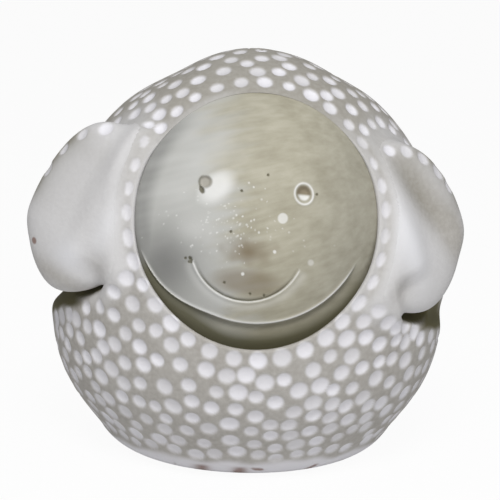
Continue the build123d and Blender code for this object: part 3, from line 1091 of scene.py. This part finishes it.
def make_fleece_and_ears():
    """Makes the ears and the body, which share one spread of stamps and one finish."""
    steps, skin, stamped, coats = fleece_skin()
    ears = {side: ear_skin(side) for side in (-1, 1)}
    up = rim_place(skin[0])[0]
    inset = RIM_STAMP_INSET + (RIM_STAMP_INSET_TOP - RIM_STAMP_INSET) * ease(up, 0.4, 0.9)
    inset = inset + (RIM_STAMP_INSET_BOTTOM - RIM_STAMP_INSET) * ease(-up, 0.4, 0.9)
    rim_line = skin[np.abs(steps[:, None] - inset).argmin(axis=0), np.arange(BODY_AROUND)]
    rows = [row_of_stamps(rim_line, RIM_STAMP_SPACING)]
    fields = [skin[2::2, ::2][stamped[2::2, ::2] > 0.6]]
    for side, (rings, taken, _) in ears.items():
        rows.append(ear_row(rings, side))
        fields.append(rings[taken > 0.6])
    rows = np.concatenate(rows)
    stamps = spread_stamps(np.concatenate(fields), rows, 7)
    shapes = stamp_shapes(stamps, 11)
    tree = kd_tree(stamps)
    finish = limewashed_fleece()
    for side, (rings, taken, ear_coats) in ears.items():
        rings = worked_by_hand(rings)
        depth, wash = press_stamps(rings.reshape(-1, 3), shapes, tree, taken.reshape(-1), len(rows))
        wash = wash.reshape(taken.shape)
        ear_coats["shade_and_grime"] = ear_coats["shade_and_grime"] * (1 - wash)
        pressed = rings - grid_normals(rings) * depth.reshape(taken.shape)[..., None]
        vertices, faces = closed_grid(pressed, pressed[0].mean(axis=0), pressed[-1].mean(axis=0))
        name, node = ("left_ear_flap", "left_ear") if side > 0 else ("right_ear_flap", "right_ear")
        make_piece(name, vertices, faces, {"wash": wash, **ear_coats}, finish, "ears", node)
    make_fleece(steps, skin, stamped, coats, shapes, tree, len(rows), finish)


def make_fleece(steps, skin, stamped, coats, shapes, tree, row_count, finish):
    """The stamped body, with a wall behind the hood's rim and room underneath for the slab and its vent."""
    skin = worked_by_hand(skin)
    depth, wash = press_stamps(skin.reshape(-1, 3), shapes, tree, stamped.reshape(-1), row_count)
    depth = depth.reshape(stamped.shape) * ease(steps, 0.2, 1.6)[:, None]
    wash = np.maximum(wash.reshape(stamped.shape), coats.pop("foot"))
    coats["shade_and_grime"] = coats["shade_and_grime"] * (1 - wash)
    skin = skin - grid_normals(skin) * depth[..., None]
    spread = np.hypot(skin[..., 0], (skin[..., 1] - LEAN_AT_FOOT) / DEPTH_SHARE)
    under = (skin[..., 2] < 0.5) & (spread < SLAB_RADIUS)
    room = np.where(spread < VENT_ROOM_RADIUS, VENT_ROOM, SLAB_ROOM)
    skin[..., 2] = np.where(under, room, skin[..., 2])
    deep = np.array([skin[0] - FACE_OUT * way for way in (OPENING_DEPTH, 12.0, 6.0, 2.5, 0.8)])
    rings = np.concatenate([deep, skin])
    vertices, faces = closed_grid(rings, deep[0].mean(axis=0), skin[-1].mean(axis=0))
    # Painted shade on the wall behind the hood's rim, fading out towards the forehead.
    shaded = 1 - ease(rim_place(skin[0])[0], 0.1, 0.6)
    values = {
        label: np.concatenate([np.tile(shaded * (label == "shade_and_grime"), (len(deep), 1)), coat])
        for label, coat in {"wash": wash, **coats}.items()
    }
    shells = ("front_body_shell", "rear_body_shell")
    return make_piece("fleece_body", vertices, faces, values, finish, "fleece", *shells)


def aim(place, target, roll=0.0):
    way = (target - place).to_track_quat("-Z", "Y")
    return way @ Quaternion((0, 0, 1), roll)


def make_camera():
    """The photograph's view: from a little above and to the figurine's right, leaning by a hair."""
    target = Vector(MOVED + VIEW_TARGET) * MM
    level = math.cos(VIEW_RISE)
    way = Vector((math.sin(VIEW_TURN) * level, -math.cos(VIEW_TURN) * level, math.sin(VIEW_RISE)))
    lens = bpy.data.cameras.new("view")
    lens.sensor_width = SENSOR_WIDTH
    lens.lens = SENSOR_WIDTH * VIEW_DISTANCE / VIEW_WIDTH
    camera = bpy.data.objects.new("view", lens)
    camera.location = target + way * VIEW_DISTANCE * MM
    camera.rotation_mode = "QUATERNION"
    camera.rotation_quaternion = aim(camera.location, target, VIEW_LEAN)
    bpy.context.scene.collection.objects.link(camera)
    bpy.context.scene.camera = camera


def make_lamp(name, place, size, power):
    light = bpy.data.lights.new(name, "AREA")
    light.shape = "DISK"
    light.size = size
    light.energy = power
    lamp = bpy.data.objects.new(name, light)
    lamp.location = Vector(place)
    lamp.rotation_mode = "QUATERNION"
    lamp.rotation_quaternion = aim(lamp.location, Vector(LAMP_TARGET))
    bpy.context.scene.collection.objects.link(lamp)


def make_stage():
    """A pale floor that shows as white and keeps the figurine's shadow, under soft lamps and a grey sky."""
    mesh = bpy.data.meshes.new("floor")
    corners = [(-1, -1), (1, -1), (1, 1), (-1, 1)]
    mesh.from_pydata([(x * FLOOR_REACH, y * FLOOR_REACH, 0) for x, y in corners], [], [(0, 1, 2, 3)])
    floor = bpy.data.objects.new("floor", mesh)
    bpy.context.scene.collection.objects.link(floor)
    finish, tree = new_finish("white_paper_floor")
    seen = add(tree, "ShaderNodeLightPath").outputs["Is Camera Ray"]
    paper = add(tree, "ShaderNodeBsdfDiffuse", {"Color": linear("#e8e8e8")})
    glow = add(tree, "ShaderNodeEmission", {"Color": (1, 1, 1, 1), "Strength": 1.0})
    lift = add(tree, "ShaderNodeMath", {0: seen, 1: 0.95}, operation="MULTIPLY")
    both = add(tree, "ShaderNodeMixShader", {0: lift.outputs[0], 1: paper.outputs[0], 2: glow.outputs[0]})
    add(tree, "ShaderNodeOutputMaterial", {"Surface": both.outputs[0]})
    mesh.materials.append(finish)
    world = bpy.data.worlds.new("soft_sky")
    bpy.context.scene.world = world
    world.use_nodes = True
    tree = world.node_tree
    tree.nodes.clear()
    seen = add(tree, "ShaderNodeLightPath").outputs["Is Camera Ray"]
    sky = add(tree, "ShaderNodeBackground", {"Color": (1, 1, 1, 1), "Strength": 0.28})
    white = add(tree, "ShaderNodeBackground", {"Color": (1, 1, 1, 1), "Strength": 1.0})
    both = add(tree, "ShaderNodeMixShader", {0: seen, 1: sky.outputs[0], 2: white.outputs[0]})
    add(tree, "ShaderNodeOutputWorld", {"Surface": both.outputs[0]})
    make_lamp("key_lamp", (-0.05, -0.8, 0.9), 0.45, 9.6)
    make_lamp("fill_lamp", (0.8, -0.7, 0.5), 0.7, 1.0)
    bpy.context.scene.view_settings.view_transform = "Standard"


make_camera()
make_stage()
make_fleece_and_ears()
make_face()
base_finish = bare_terracotta()
slab = frame["nodes"]["base_slab"].data
slab.materials.clear()
slab.materials.append(base_finish)
